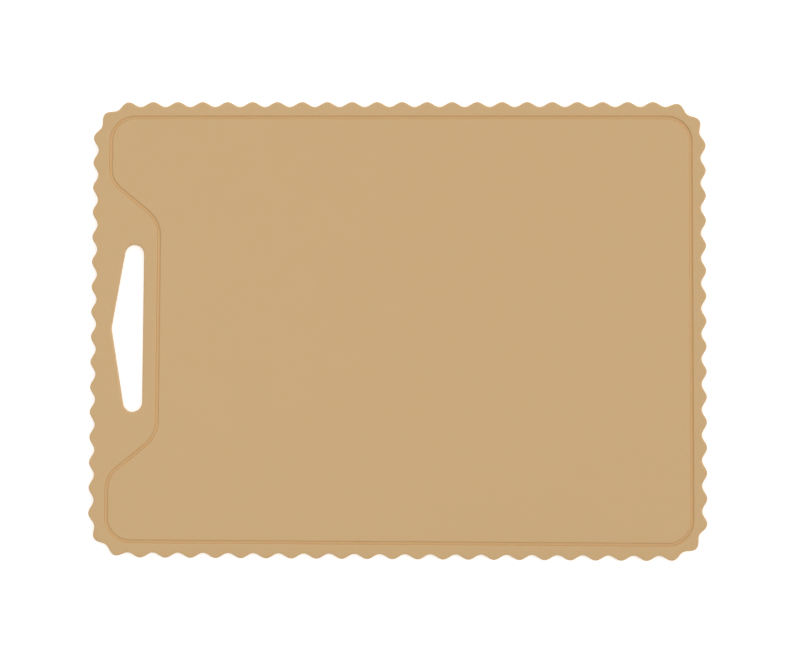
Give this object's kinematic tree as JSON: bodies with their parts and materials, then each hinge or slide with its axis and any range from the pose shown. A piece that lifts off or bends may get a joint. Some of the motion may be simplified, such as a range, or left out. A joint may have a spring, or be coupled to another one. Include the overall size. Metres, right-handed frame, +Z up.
{
  "type": "silicone cutting board",
  "caption": "Flat rectangular silicone cutting board with a waved rim, a juice groove that steps in round the grip, and a notched hand slot.",
  "frame": {"origin": "middle of the underside, on the surface that the board lies on", "axes": "+X along the board's length, away from the hand slot; +Y across its width; +Z up, from the underside to the work face"},
  "size_m": [0.289, 0.215, 0.003],
  "materials": {
    "silicone": "matte moulded silicone, warm beige, a little smoother in the groove"
  },
  "bodies": {
    "root": {"board": "silicone"}
  },
  "joints": []
}
